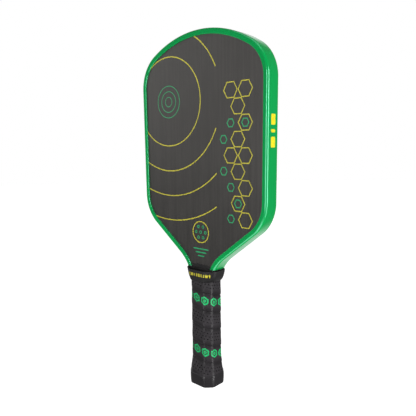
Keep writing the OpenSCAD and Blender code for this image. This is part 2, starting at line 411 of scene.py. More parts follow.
def outline_frame():
    """Corner centres and angles of the right half of the head's outline, as (x, z) vectors."""
    sizes = settings("outline")
    shoulder = Vector((HEAD_HALF - sizes.shoulder_radius, TIP_Z - sizes.shoulder_drop))
    hip = Vector((sizes.hip_width / 2 - sizes.hip_radius, sizes.hip_height))
    tip_radius = (shoulder.x ** 2 + sizes.shoulder_drop ** 2 - sizes.shoulder_radius ** 2) / (
        2 * (sizes.shoulder_drop - sizes.shoulder_radius))
    tip = Vector((0, TIP_Z - tip_radius))
    side = shoulder - hip
    side_angle = (math.asin((sizes.hip_radius - sizes.shoulder_radius) / side.length)
                  - math.atan2(side.x, side.y))
    normal = Vector((math.sin(sizes.flank_angle), -math.cos(sizes.flank_angle)))
    throat_x = sizes.neck_width / 2 + sizes.throat_radius
    throat_z = (normal.dot(hip) + sizes.hip_radius + sizes.throat_radius - normal.x * throat_x) / normal.y
    return {
        "tip": tip, "tip_radius": tip_radius, "shoulder": shoulder, "hip": hip,
        "throat": Vector((throat_x, throat_z)),
        "tip_angle": math.atan2(shoulder.y - tip.y, shoulder.x),
        "side_angle": side_angle,
        "flank_normal_angle": sizes.flank_angle - math.pi / 2,
        "end_angle": -math.asin((GUARD_END_Z - throat_z) / sizes.throat_radius),
    }


def toward(angle):
    """Unit (x, z) vector at an angle."""
    return Vector((math.cos(angle), math.sin(angle)))


def on_arc(centre, radius, angle):
    """Point of an arc, as an (x, z) vector."""
    return centre + radius * toward(angle)


def head_inset(x, z):
    """Distance of a point inside the head's outline; below zero outside it."""
    sizes = settings("outline")
    corners = outline_frame()
    place = Vector((abs(x), z))
    side = toward(corners["side_angle"])
    flank = toward(corners["flank_normal_angle"])
    from_shoulder = place - corners["shoulder"]
    from_hip = place - corners["hip"]
    inset = min(corners["tip_radius"] - (place - corners["tip"]).length,
                sizes.shoulder_radius - side.dot(from_shoulder), sizes.hip_radius - flank.dot(from_hip))
    in_shoulder = (from_shoulder.y > 0 and from_shoulder.dot(side) > 0
                   and math.atan2(from_shoulder.y, from_shoulder.x) < corners["tip_angle"])
    in_hip = (from_hip.y < 0 and from_hip.x > 0
              and math.atan2(from_hip.y, from_hip.x) > corners["flank_normal_angle"])
    if in_shoulder:
        inset = min(inset, sizes.shoulder_radius - from_shoulder.length)
    if in_hip:
        inset = min(inset, sizes.hip_radius - from_hip.length)
    return inset


# Finishes

EVEN = (1, 1, 1)
TAPE_UV = "tape"
# Point attribute that marks the bottoms of the grip's holes; the grip's finish paints shade there from it
# and makes them a little rougher
VENT_SHARE = "vent"


def node(tree, kind, **values):
    """Adds a shader node; values named as sockets fill them, others are properties."""
    made = tree.nodes.new(kind)
    for key, value in values.items():
        if hasattr(made, key):
            setattr(made, key, value)
        else:
            made.inputs[key.replace("_", " ")].default_value = value
    return made


def new_finish(name):
    """New material with its tree and shader."""
    material = bpy.data.materials.new(name)
    material.use_nodes = True
    return material, material.node_tree, material.node_tree.nodes["Principled BSDF"]


def noise(tree, scale, detail=3.0, roughness=0.5, stretch=EVEN):
    """Noise on the piece's own coordinates, stretched along the axes; gives its factor."""
    where = node(tree, "ShaderNodeTexCoord")
    stretched = node(tree, "ShaderNodeMapping", Scale=stretch)
    grains = node(tree, "ShaderNodeTexNoise", Scale=scale, Detail=detail, Roughness=roughness)
    tree.links.new(where.outputs["Object"], stretched.inputs["Vector"])
    tree.links.new(stretched.outputs["Vector"], grains.inputs["Vector"])
    return grains.outputs["Fac"]


def spread(tree, factor, low, high, start=0.3, end=0.7):
    """Maps a factor from start and end to low and high."""
    span = node(tree, "ShaderNodeMapRange", From_Min=start, From_Max=end, To_Min=low, To_Max=high)
    tree.links.new(factor, span.inputs["Value"])
    return span.outputs["Result"]


def shades(tree, factor, stops):
    """Colour ramp from a list of (position, colour)."""
    ramp = node(tree, "ShaderNodeValToRGB")
    elements = ramp.color_ramp.elements
    while len(elements) < len(stops):
        elements.new(0.5)
    for element, (position, colour) in zip(elements, stops):
        element.position = position
        element.color = (*colour, 1)
    tree.links.new(factor, ramp.inputs["Fac"])
    return ramp.outputs["Color"]


def greys(tree, factor, stops):
    """Ramp of neutral levels from a list of (position, level)."""
    return shades(tree, factor, [(position, (level, level, level)) for position, level in stops])


def tinted(colour, factor):
    """Colour made lighter or darker by a factor."""
    return tuple(min(1.0, channel * factor) for channel in colour)


def tones(tree, factor, colour, dark, middle, light):
    """Ramp of a colour: (position, tint) of its darkest and lightest tone, and its own position."""
    return shades(tree, factor, [(dark[0], tinted(colour, dark[1])), (middle, colour),
                                 (light[0], tinted(colour, light[1]))])


def blend_sum(tree, first, second, weight):
    """First factor plus a weighted second one."""
    total = node(tree, "ShaderNodeMath", operation="MULTIPLY_ADD")
    total.inputs[1].default_value = weight
    tree.links.new(second, total.inputs[0])
    tree.links.new(first, total.inputs[2])
    return total.outputs["Value"]


def surface(tree, shader, colour, roughness, height, strength, depth):
    """Links a colour and a roughness to the shader, and a bump of a depth in millimetres."""
    tree.links.new(colour, shader.inputs["Base Color"])
    tree.links.new(roughness, shader.inputs["Roughness"])
    relief = node(tree, "ShaderNodeBump", Strength=strength, Distance=depth * MM)
    tree.links.new(height, relief.inputs["Height"])
    tree.links.new(relief.outputs["Normal"], shader.inputs["Normal"])


def carbon_finish(name, colour):
    """Raw carbon laminate: fine upright fibre, a peel texture and faint tow lines."""
    material, tree, shader = new_finish(name)
    fibre = noise(tree, 1.0, detail=5, roughness=0.6, stretch=(1900, 1900, 26))
    tows = noise(tree, 1.0, detail=2, stretch=(260, 260, 2.5))
    peel = noise(tree, 1500, detail=2, roughness=0.6)
    mottle = noise(tree, 22)
    mixed = blend_sum(tree, blend_sum(tree, fibre, tows, 0.55), mottle, 0.35)
    surface(tree, shader,
            colour=tones(tree, mixed, colour, dark=(0.55, 0.66), middle=0.95, light=(1.25, 1.5)),
            roughness=spread(tree, mixed, 0.40, 0.56, start=0.6, end=1.3),
            height=blend_sum(tree, peel, fibre, 0.8), strength=0.35, depth=0.05)
    shader.inputs["Specular IOR Level"].default_value = 0.7
    shader.inputs["Specular Tint"].default_value = (1.0, 0.965, 0.93, 1)
    return material


def moulded_finish(name, colour, roughness, grain, depth, tint=EVEN, gloss=0.5, ior=1.5):
    """Moulded plastic: faint flow shades, satin gloss and a fine grain."""
    material, tree, shader = new_finish(name)
    flow = noise(tree, 16, stretch=(1, 1, 0.4))
    fine = noise(tree, grain, roughness=0.6)
    scuff = noise(tree, 130, detail=5, roughness=0.7)
    surface(tree, shader,
            colour=tones(tree, flow, colour, dark=(0.25, 0.88), middle=0.55, light=(0.8, 1.1)),
            roughness=spread(tree, scuff, roughness * 0.85, roughness * 1.25, start=0.35, end=0.75),
            height=fine, strength=0.25, depth=depth)
    shader.inputs["Specular Tint"].default_value = (*tint, 1)
    shader.inputs["Specular IOR Level"].default_value = gloss
    shader.inputs["IOR"].default_value = ior
    return material


def rubber_finish(name, colour):
    """Moulded rubber: matte, with a dusty bloom and a fine matt grain."""
    material, tree, shader = new_finish(name)
    bloom = noise(tree, 60, detail=5, roughness=0.65)
    surface(tree, shader,
            colour=tones(tree, bloom, colour, dark=(0.3, 0.8), middle=0.6, light=(0.85, 1.7)),
            roughness=spread(tree, bloom, 0.5, 0.7),
            height=noise(tree, 1400, detail=2), strength=0.3, depth=0.04)
    return material


# Tints and roughness of the grip across the tape, by share of its width from the lower edge; the tints are
# painted shade at each turn's lower edge and beneath the edge of the turn above, and lighter across the
# band of holes
CUSHION_SHADES = [(0.0, 0.85), (0.08, 1.0), (0.2, 1.27), (0.66, 1.27), (0.75, 0.75), (0.86, 0.55)]
CUSHION_ROUGHNESS = [(0.0, 0.36), (0.14, 0.38), (0.27, 0.54), (0.64, 0.54), (0.76, 0.44)]


def cushion_finish(name, colour):
    """Soft grip tape with a pore grain: lighter and duller across its band of holes, with painted shade
    along the seams and at the bottoms of the holes.
    """
    material, tree, shader = new_finish(name)
    cloud = noise(tree, 70, detail=5, roughness=0.6)
    flat = node(tree, "ShaderNodeUVMap", uv_map=TAPE_UV)
    parts = node(tree, "ShaderNodeSeparateXYZ")
    tree.links.new(flat.outputs["UV"], parts.inputs["Vector"])
    across = parts.outputs["Y"]
    # Painted shade: darker at each turn's lower edge and much darker beneath the overlapping edge of the
    # turn above; lighter across the band of holes
    dip = greys(tree, across, CUSHION_SHADES)
    polish = greys(tree, across, CUSHION_ROUGHNESS)
    vent = node(tree, "ShaderNodeAttribute", attribute_name=VENT_SHARE).outputs["Fac"]
    dipped = node(tree, "ShaderNodeVectorMath", operation="MULTIPLY")
    tone = tones(tree, cloud, colour, dark=(0.3, 0.75), middle=0.55, light=(0.8, 1.5))
    tree.links.new(tone, dipped.inputs[0])
    tree.links.new(dip, dipped.inputs[1])
    # Painted shade in the holes: the colour falls to five per cent at their bottoms
    vented = node(tree, "ShaderNodeVectorMath", operation="SCALE")
    tree.links.new(dipped.outputs["Vector"], vented.inputs[0])
    tree.links.new(spread(tree, vent, 1.0, 0.05, start=0.0, end=1.0), vented.inputs["Scale"])
    worn = spread(tree, blend_sum(tree, cloud, vent, 1.0), -0.04, 0.08)
    surface(tree, shader, colour=vented.outputs["Vector"], roughness=blend_sum(tree, polish, worn, 1.0),
            height=noise(tree, 1100, detail=4, roughness=0.65), strength=0.35, depth=0.05)
    shader.inputs["Specular IOR Level"].default_value = 0.31
    return material


def ink_finish(name, colour):
    """Screen ink: slightly uneven film with a satin surface."""
    material, tree, shader = new_finish(name)
    patches = noise(tree, 420, detail=4, roughness=0.7)
    surface(tree, shader,
            colour=tones(tree, patches, colour, dark=(0.25, 0.72), middle=0.55, light=(0.85, 1.12)),
            roughness=spread(tree, patches, 0.38, 0.6), height=patches, strength=0.2, depth=0.02)
    return material


def speckled_finish(name, colour, scale, contrast, roughness, stretch):
    """Plain inner material with a fine speckle."""
    material, tree, shader = new_finish(name)
    specks = noise(tree, scale, detail=4, roughness=0.6, stretch=stretch)
    surface(tree, shader,
            colour=tones(tree, specks, colour, dark=(0.3, 1 - contrast), middle=0.55,
                         light=(0.8, 1 + contrast)),
            roughness=spread(tree, specks, roughness * 0.85, min(1.0, roughness * 1.2)),
            height=specks, strength=0.3, depth=0.05)
    return material


# Edge guard

GUARD_SEGMENTS = 8
LIP_SEGMENTS = 4
SWEEP_STEP = math.radians(2.2)


def guard_profile():
    """Section of the guard at the tip: a plate cut to a channel, with rounded edges."""
    sizes = settings("outline")
    wall_z = TIP_Z - sizes.guard_wall
    lip_z = TIP_Z - sizes.lip_reach
    piece = add_piece("edge_guard_shell", bpy.ops.mesh.primitive_plane_add, size=1,
                      location=(0, 0, TIP_Z - sizes.lip_reach / 2), rotation=(0, math.pi / 2, 0))
    stretch_piece(piece, sizes.lip_reach, 2 * GUARD_Y)
    edit_mode()
    cuts = [((0, 0, wall_z), (0, 0, 1)), ((0, FACE_Y, 0), (0, 1, 0)), ((0, -FACE_Y, 0), (0, 1, 0))]
    for place, direction in cuts:
        select_all()
        bpy.ops.mesh.bisect(plane_co=place, plane_no=direction)
    select_faces(piece, lambda centre, face: centre.z < wall_z and abs(centre.y) < FACE_Y)
    bpy.ops.mesh.delete(type="FACE")
    select_all()
    bpy.ops.mesh.dissolve_faces()

    def at(point, y, z):
        return abs(abs(point.y) - y) < NEAR and abs(point.z - z) < NEAR

    select_points(piece, lambda point: at(point, FACE_Y, TIP_Z) or at(point, GUARD_Y, wall_z))
    bpy.ops.mesh.dissolve_verts()
    select_points(piece, lambda point: at(point, GUARD_Y, TIP_Z))
    round_corners(sizes.guard_radius, GUARD_SEGMENTS)
    select_points(piece, lambda point: at(point, GUARD_Y, lip_z))
    round_corners(sizes.lip_rounding, LIP_SEGMENTS)
    return piece


def sweep_line(end, start):
    """Extrudes the selected section along a straight stretch of the outline."""
    way = end - start
    extrude(way.x, 0, way.y)


def sweep_arc(centre, angle):
    """Spins the selected section about a corner centre; a positive angle runs down the right side."""
    steps = max(2, math.ceil(abs(angle) / SWEEP_STEP))
    bpy.ops.mesh.spin(steps=steps, angle=-angle, center=(centre.x, 0, centre.y), axis=(0, 1, 0))


def make_guard():
    """Sweeps the section from the tip down the right side and mirrors it."""
    sizes = settings("outline")
    corners = outline_frame()
    piece = guard_profile()
    bpy.ops.mesh.select_mode(type="FACE")
    select_all()
    sweep_arc(corners["tip"], math.pi / 2 - corners["tip_angle"])
    sweep_arc(corners["shoulder"], corners["tip_angle"] - corners["side_angle"])
    sweep_line(on_arc(corners["hip"], sizes.hip_radius, corners["side_angle"]),
               on_arc(corners["shoulder"], sizes.shoulder_radius, corners["side_angle"]))
    sweep_arc(corners["hip"], corners["side_angle"] - corners["flank_normal_angle"])
    sweep_line(on_arc(corners["throat"], -sizes.throat_radius, corners["flank_normal_angle"]),
               on_arc(corners["hip"], sizes.hip_radius, corners["flank_normal_angle"]))
    sweep_arc(corners["throat"], corners["flank_normal_angle"] - corners["end_angle"])
    select_faces(piece, lambda centre, face: abs(centre.x) < NEAR and abs(face.normal.x) > FACING)
    bpy.ops.mesh.delete(type="ONLY_FACE")
    object_mode()
    apply_modifier(piece, "MIRROR", use_axis=(True, False, False), use_clip=True, merge_threshold=NEAR)
    return close_piece(piece)


# Octagon pieces of the handle

def octagon_cut(grow):
    """Corner cut of the handle octagon when every flat is grown."""
    return settings("grip").chamfer + grow * (2 - math.sqrt(2))


def octagon_sheet(name, grow, z, rounding=2.0 * MM, segments=4):
    """Flat octagon of the handle, grown on every flat, with softened corners."""
    piece = add_piece(name, bpy.ops.mesh.primitive_plane_add, size=2, location=(0, 0, z))
    bpy.ops.transform.resize(value=(PALLET_X + grow, PALLET_Y + grow, 1))
    round_corners(octagon_cut(grow), segments=1)
    select_all()
    round_corners(rounding, segments)
    select_all()
    return piece


def clear_face():
    """Takes the face out of a flat sheet and selects the edge that stays."""
    bpy.ops.mesh.delete(type="ONLY_FACE")
    select_all()


def raise_loops(loops, wide, deep, z):
    """Runs a list of (height, half width, half depth) loops on from the selected one."""
    for height, next_wide, next_deep in loops:
        extrude(0, 0, height - z)
        ratios = (next_wide / wide, next_deep / deep, 1)
        bpy.ops.transform.resize(value=ratios, center_override=(0, 0, height))
        wide = next_wide
        deep = next_deep
        z = height


def grown(z, out):
    """Loop of the handle octagon at a height, grown on every flat."""
    return z, PALLET_X + out, PALLET_Y + out


FOOT_GROW = 3.1 * MM
# Height and growth of the cap's outside above its foot, in millimetres
CAP_PROFILE = [(0.14, 3.62), (0.5, 4.06), (1.1, 4.3), (2.5, 4.44), (6.0, 4.66), (9.0, 4.79),
               (10.6, 4.8), (12.6, 4.72), (14.0, 4.55), (14.55, 4.32), (14.8, 3.9)]
# Height and distance inside the foot's edge of the dish and ring under the cap, in millimetres
CAP_DISH = [(0, 2.2), (0.45, 2.7), (0.55, 5.4), (0.3, 5.8), (0.3, 7.0), (0.55, 7.4)]
SKIRT_GAP = 0.08 * MM
POCKET_GAP = 0.1 * MM


def make_cap():
    """Butt cap: foot, flared bare ring, and the skirt that the tape covers."""
    ring_top = TAPE_BOX[0][2]
    top = CAP_BOX[1][2]
    loops = [grown(z * MM, out * MM) for z, out in CAP_PROFILE]
    loops += [grown(ring_top, flare(ring_top) - SKIRT_GAP), grown(top, flare(top) - SKIRT_GAP),
              grown(top, POCKET_GAP), grown(PALLET_BOX[0][2], POCKET_GAP)]
    _, foot_x, foot_y = grown(0, FOOT_GROW)
    piece = octagon_sheet("butt_cap_shell", FOOT_GROW, 0)
    raise_loops(loops, foot_x, foot_y, 0)
    select_faces(piece, lambda centre, face: abs(centre.z) < NEAR)
    raise_loops([grown(z * MM, FOOT_GROW - inward * MM) for z, inward in CAP_DISH], foot_x, foot_y, 0)
    return close_piece(piece)


COLLAR_EDGE = 2.85 * MM
COLLAR_INSIDE = 2.42 * MM
COLLAR_WALL = 1.0 * MM
COLLAR_PROFILE = [
    # share of the height, shares of the way from the lower edge to the mouth across and through
    (0.03, 0.09, 0.2), (0.12, 0.26, 0.45), (0.26, 0.47, 0.62), (0.42, 0.65, 0.75), (0.58, 0.78, 0.85),
    (0.74, 0.88, 0.93), (0.88, 0.955, 0.98), (0.95, 0.99, 1.0), (0.985, 1.0, 1.0), (1.0, 0.985, 0.96),
]
COLLAR_THROAT = [
    # share of the height, distances inside the mouth across and through, in walls
    (1.0, 0.75, 0.75), (0.97, 1.0, 1.0), (0.90, 1.3, 1.0),
]
COLLAR_BORE = [
    # share of the height, distances outside the bore across and through, in millimetres
    (0.40, 0.35, 0.0), (0.34, 0.0, 0.0), (0.02, 0.0, 0.0), (0.0, 0.05, 0.05),
]


def collar_loop(share, across, through):
    """Loop of the collar's outside at a share of its height, between lower edge and mouth."""
    low, high = COLLAR_BOX
    z, wide, deep = grown(low[2] + share * (high[2] - low[2]), COLLAR_EDGE)
    return z, wide + (high[0] - wide) * across, deep + (high[1] - deep) * through


def make_collar():
    """Rubber collar: a thin lower edge, a bowl that opens to the throat and a rolled rim."""
    low, high = COLLAR_BOX
    height = high[2] - low[2]
    loops = [collar_loop(*station) for station in COLLAR_PROFILE]
    loops += [(low[2] + share * height, high[0] - across * COLLAR_WALL, high[1] - through * COLLAR_WALL)
              for share, across, through in COLLAR_THROAT]
    _, bore_x, bore_y = grown(0, COLLAR_INSIDE)
    loops += [(low[2] + share * height, bore_x + across * MM, bore_y + through * MM)
              for share, across, through in COLLAR_BORE]
    piece = octagon_sheet("grip_collar_shell", COLLAR_EDGE, low[2], rounding=2.6 * MM, segments=5)
    clear_face()
    raise_loops(loops, PALLET_X + COLLAR_EDGE, PALLET_Y + COLLAR_EDGE, low[2])
    bridge_rims(piece)
    object_mode()
    apply_modifier(piece, "SUBSURF", levels=1, render_levels=1)
    return close_piece(piece)


# Neck band

SLEEVE_LOW = GUARD_END_Z + 2.4 * MM
SLEEVE_TOP = COLLAR_BOX[1][2] + 1.6 * MM
SLEEVE_STEPS = 5
SLEEVE_WALL = 0.2 * MM
SLEEVE_GAP = 0.05 * MM
SLEEVE_ROUNDING = 2.6 * MM
TONGUE_LOW = GUARD_END_Z + 1.0 * MM
TONGUE_SIDE = COLLAR_BOX[1][2] + 4.5 * MM
TONGUE_MIDDLE = COLLAR_BOX[1][2] + 5.7 * MM
TONGUE_THICKNESS = 0.95 * MM
TONGUE_CLEAR = 0.25 * MM
TONGUE_GAP = 0.02 * MM
TONGUE_ROUNDING = 0.3 * MM


def neck_half(z, inward=0.0):
    """Half width of the neck over the guard's ends, or of what their lips leave free."""
    throat = outline_frame()["throat"]
    reach = settings("outline").throat_radius + inward
    return throat.x - math.sqrt(reach ** 2 - (z - throat.y) ** 2)


def neck_sleeve():
    """Thin sleeve stretched round the ends of the guard."""
    heights = [SLEEVE_LOW + (SLEEVE_TOP - SLEEVE_LOW) * i / SLEEVE_STEPS for i in range(SLEEVE_STEPS + 1)]
    inner = [(z, neck_half(z) + SLEEVE_GAP, GUARD_Y + SLEEVE_GAP) for z in heights]
    outer = [(z, wide + SLEEVE_WALL, deep + SLEEVE_WALL) for z, wide, deep in inner]
    low, low_wide, low_deep = outer[0]
    piece = add_piece("neck_sleeve", bpy.ops.mesh.primitive_plane_add, size=2, location=(0, 0, low))
    bpy.ops.transform.resize(value=(low_wide, low_deep, 1))
    round_corners(SLEEVE_ROUNDING, segments=5)
    select_all()
    clear_face()
    raise_loops(outer[1:] + inner[::-1], low_wide, low_deep, low)
    bridge_rims(piece)
    return close_piece(piece)


def neck_tongue():
    """Rubber tongue that lies on the front face between the guard's lips."""
    reach = settings("outline").lip_reach
    piece = add_piece("neck_tongue", bpy.ops.mesh.primitive_grid_add, size=1, x_subdivisions=14,
                      y_subdivisions=8, rotation=(math.pi / 2, 0, 0))
    select_all()
    extrude(0, -TONGUE_THICKNESS, 0)
    close_piece(piece)

    def on_face(point):
        across = 2 * point.x
        top = TONGUE_MIDDLE + (TONGUE_SIDE - TONGUE_MIDDLE) * across ** 2
        z = TONGUE_LOW + (top - TONGUE_LOW) * (point.z + 0.5)
        half = neck_half(z, reach) - TONGUE_CLEAR
        return Vector((across * half, point.y - FACE_Y - TONGUE_GAP, z))

    move_points(piece, on_face)
    apply_modifier(piece, "BEVEL", width=TONGUE_ROUNDING, segments=3, limit_method="ANGLE",
                   angle_limit=math.radians(50))
    return close_piece(piece)


def make_neck():
    """Rubber band on the neck: a sleeve on the guard's ends and a tongue on each face."""
    front = neck_tongue()
    rear = copy_to(front, "neck_tongue_rear", (0, 0, 0))
    rear.data.transform(Matrix.Rotation(math.pi, 4, "Z"))
    return join_pieces("neck_band", [neck_sleeve(), front, rear])


# Wound grip tape

SIDES = 8
FRONT_SIDE = 5
HALF_BEND = math.pi / SIDES
# Largest share of a side that the rounding of one corner takes
ROUNDED_SHARE = 0.45
# Height of the tape that lies within the grip at its first and at its last point
END_SHOWN = 1.5 * MM
# Spans of the rise, the tuck and the lift across the tape, in widths of the overlap
RISE_SPAN = (0.6, 3.0)
TUCK_SPAN = (-0.9, 0.4)
LIFT_SPAN = (1.0, 1.5)
TUCK_DEPTH = 0.5 * MM
LIFT_HEIGHT = 1.28 * MM
UNDER_GAP = 0.06 * MM
EDGE_SPAN = 1.6 * MM
EDGE_DROP = 0.38 * MM
# Height of the upper printed band, its place across the tape, its half length and its distance in turns
BAND_HEIGHT = 106.5 * MM
BAND_ACROSS = 12.0 * MM
BAND_HALF = 42 * MM
BAND_TURNS = 3
COLUMNS_PER_TURN = 104
ROW_HEIGHT = 1.25 * MM
# Rows of the flat tape that have holes, with the columns by which they are set off
HOLE_ROWS = {6: 0, 9: 2, 12: 0}
HOLE_EVERY = 4
HOLE_DEPTH = 0.9 * MM
HOLE_MARGIN = 2.2 * MM
# Share of a hole's radius within which a point or a face is the hole's own
HOLE_CENTRE = 0.8
# Profile of the bevel that opens a point of the tape to a round hole
ROUND_PROFILE = 0.085
# Shares of the tape's thickness between which a point can only be at the bottom of a hole
VENT_LEVELS = (0.2, 0.8)


def handle_ring(grow):
    """Corner points of the handle octagon, grown on every flat, counter-clockwise from above."""
    _, wide, deep = grown(0, grow)
    cut = octagon_cut(grow)
    x = wide - cut
    y = deep - cut
    back = [Vector((wide, y)), Vector((x, deep)), Vector((-x, deep)), Vector((-wide, y))]
    return back + [-corner for corner in back]


def flare(z):
    """How far the flared handle stands out from the pallets."""
    grip = settings("grip")
    return max(0.0, grip.flare_out * (grip.flare_top - z) / (grip.flare_top - TAPE_BOX[0][2]))


def ease(value, start, end):
    """Smooth step from 0 at start to 1 at end."""
    part = max(0.0, min(1.0, (value - start) / (end - start)))
    return part * part * (3 - 2 * part)


def tape_levels(across):
    """Under side and upper side of the tape at a distance from its lower edge."""
    grip = settings("grip")
    overlap = grip.width - grip.pitch
    rise = 1 - ease(across, *(share * overlap for share in RISE_SPAN))
    tuck = ease(across, *(grip.pitch + share * overlap for share in TUCK_SPAN))
    lift = 1 - ease(across, *(share * overlap for share in LIFT_SPAN))
    edge = 1 - ease(across, 0, EDGE_SPAN)
    upper = grip.thickness + grip.overlap_rise * rise - TUCK_DEPTH * tuck - EDGE_DROP * edge ** 2
    return UNDER_GAP + LIFT_HEIGHT * lift, upper


class Winding:
    """The tape's way round the handle, worked out from the grip's sizes."""

    def __init__(self):
        grip = settings("grip")
        ring = handle_ring(grip.thickness)
        lengths = [(ring[(i + 1) % SIDES] - ring[i]).length for i in range(SIDES)]
        low = TAPE_BOX[0][2]
        high = TAPE_BOX[1][2]
        self.girth = sum(lengths)
        self.shares = [sum(lengths[:i]) / self.girth for i in range(SIDES + 1)]
        self.start = low - grip.width + END_SHOWN
        self.turns = (high - low + grip.width - 2 * END_SHOWN) / grip.pitch
        front_middle = (self.shares[FRONT_SIDE] + self.shares[FRONT_SIDE + 1]) / 2
        self.phase = front_middle + (grip.seam_height - self.start) / grip.pitch

    def around(self, turn, grow):
        """Point on the octagon at a share of a turn, its corners eased by the ridge radius."""
        ring = handle_ring(grow)
        share = turn % 1.0
        i = max(k for k in range(SIDES) if self.shares[k] <= share)
        part = (share - self.shares[i]) / (self.shares[i + 1] - self.shares[i])
        first = ring[i]
        last = ring[(i + 1) % SIDES]
        length = (last - first).length
        reach = min(settings("grip").ridge_radius * math.tan(HALF_BEND), ROUNDED_SHARE * length)
        along = part * length
        if reach <= along <= length - reach:
            return first + (last - first) * part
        at_start = along < reach
        corner = first if at_start else last
        ahead = ((last if at_start else first) - corner).normalized()
        behind = (ring[i - 1 if at_start else (i + 2) % SIDES] - corner).normalized()
        sweep = (along if at_start else length - along) / reach * HALF_BEND
        turn_radius = reach / math.tan(HALF_BEND)
        centre = corner + (ahead + behind).normalized() * (turn_radius / math.cos(HALF_BEND))
        middle = (corner - centre).normalized()
        side = (ahead - behind).normalized()
        return centre + turn_radius * (middle * math.cos(sweep) + side * math.sin(sweep))

    def wrap(self, point):
        """Winds a point of the flat tape: x along it, y up from its lower edge, z through it."""
        grip = settings("grip")
        turn = point.x / self.girth
        height = self.start + grip.pitch * turn + point.y
        under, upper = tape_levels(point.y)
        lift = under + (upper - under) * point.z / grip.thickness
        place = self.around(self.phase - turn, flare(height) + lift)
        return Vector((place.x, place.y, height))

    def band_places(self):
        """Places along the flat tape where the printed bands are centred."""
        upper = (BAND_HEIGHT - BAND_ACROSS - self.start) / settings("grip").pitch
        return [(upper - BAND_TURNS) * self.girth, upper * self.girth]


def mark_tape(piece, girth):
    """Notes on the flat tape where each point lies across it, and which points are down in a vent."""
    grip = settings("grip")
    points = piece.data.vertices
    flat = piece.data.uv_layers.new(name=TAPE_UV)
    for loop in piece.data.loops:
        place = points[loop.vertex_index].co
        flat.data[loop.index].uv = (place.x / girth, place.y / grip.width)
    # The vent mark lets the grip's finish paint shade at the bottoms of the holes
    vent = piece.data.attributes.new(VENT_SHARE, "FLOAT", "POINT")
    for point in points:
        down = VENT_LEVELS[0] < point.co.z / grip.thickness < VENT_LEVELS[1]
        vent.data[point.index].value = 1.0 if down else 0.0


def make_grip():
    """Cuts the tape flat, punches its vent holes and winds it on the handle."""
    grip = settings("grip")
    winding = Winding()
    columns = math.ceil(winding.turns * COLUMNS_PER_TURN)
    rows = round(grip.width / ROW_HEIGHT)
    step_x = winding.girth / COLUMNS_PER_TURN
    step_y = grip.width / rows
    length = columns * step_x
    piece = add_piece("grip_tape_wound", bpy.ops.mesh.primitive_grid_add, size=1,
                      x_subdivisions=columns, y_subdivisions=rows, location=(0, 0, 0))
    bpy.ops.transform.resize(value=(length, grip.width, 1), center_override=(0, 0, 0))
    bpy.ops.transform.translate(value=(length / 2, grip.width / 2, 0))
    slope = grip.pitch / winding.girth
    low = TAPE_BOX[0][2] - winding.start
    high = TAPE_BOX[1][2] - winding.start
    select_all()
    bpy.ops.mesh.bisect(plane_co=(0, low, 0), plane_no=(slope, 1, 0), clear_inner=True)
    select_all()
    bpy.ops.mesh.bisect(plane_co=(0, high, 0), plane_no=(slope, 1, 0), clear_outer=True)
    select_all()
    extrude(0, 0, grip.thickness)
    bands = winding.band_places()
    half_hole = grip.hole_size / 2

    def in_hole(point):
        row = round(point.y / step_y)
        if point.z < grip.thickness / 2 or row not in HOLE_ROWS:
            return False
        shift = HOLE_ROWS[row]
        x = (HOLE_EVERY * round((point.x / step_x + shift) / HOLE_EVERY) - shift) * step_x
        y = row * step_y
        if min(abs(x - band) for band in bands) < BAND_HALF:
            return False
        return (low + HOLE_MARGIN < slope * x + y < high - HOLE_MARGIN
                and math.hypot(point.x - x, point.y - y) < HOLE_CENTRE * half_hole)

    select_points(piece, in_hole)
    bpy.ops.mesh.bevel(offset=half_hole, segments=2, affect="VERTICES", profile=ROUND_PROFILE)
    select_faces(piece, lambda centre, face: face.normal.z > FACING and in_hole(centre))
    extrude(0, 0, -HOLE_DEPTH)
    close_piece(piece)
    mark_tape(piece, winding.girth)
    move_points(piece, winding.wrap)
    edit_mode()
    select_all()
    bpy.ops.mesh.normals_make_consistent(inside=False)
    object_mode()
    return piece


# Printed shapes

ARC_STEP = math.radians(1.5)
CELL_SIDES = 6


def ring_shape(name, sides, radius, stroke, film, turn=0.0, cuts=0):
    """Outline of a polygon or circle in the XZ plane, facing the front, as a thin film of ink."""
    piece = add_piece(name, bpy.ops.mesh.primitive_circle_add, vertices=sides, radius=radius,
                      fill_type="NGON", rotation=(math.pi / 2, turn, 0))
    select_all()
    bpy.ops.mesh.inset(thickness=stroke / math.cos(math.pi / sides) if sides == CELL_SIDES else stroke)
    bpy.ops.mesh.delete(type="FACE")
    select_all()
    if cuts:
        bpy.ops.mesh.subdivide(number_cuts=cuts)
        select_all()
    extrude(0, -2 * film, 0)
    return close_piece(piece)


def plate_shape(name, wide, tall, rounding, film):
    """Rounded bar in the XZ plane, facing the front."""
    piece = add_piece(name, bpy.ops.mesh.primitive_plane_add, size=1, rotation=(math.pi / 2, 0, 0))
    stretch_piece(piece, wide, tall)
    edit_mode()
    select_all()
    round_corners(rounding, segments=4)
    select_all()
    extrude(0, -2 * film, 0)
    return close_piece(piece)


def arc_shape(name, centre, radius, start, end, stroke, film):
    """Curved line in the XZ plane: a small bar spun about the curve's centre."""
    piece = add_piece(name, bpy.ops.mesh.primitive_plane_add, size=1)
    stretch_piece(piece, stroke, 2 * film)
    piece.data.transform(Matrix.Translation((centre[0], -film, centre[1]))
                         @ Matrix.Rotation(-start, 4, "Y") @ Matrix.Translation((radius, 0, 0)))
    edit_mode()
    select_all()
    steps = max(4, math.ceil((end - start) / ARC_STEP))
    bpy.ops.mesh.spin(steps=steps, angle=end - start, center=(centre[0], 0, centre[1]), axis=(0, 1, 0))
    select_all()
    bpy.ops.mesh.fill_holes(sides=4)
    return close_piece(piece)


def shifted(piece, x, z):
    """Moves a flat shape in the XZ plane."""
    piece.data.transform(Matrix.Translation((x, 0, z)))
    return piece


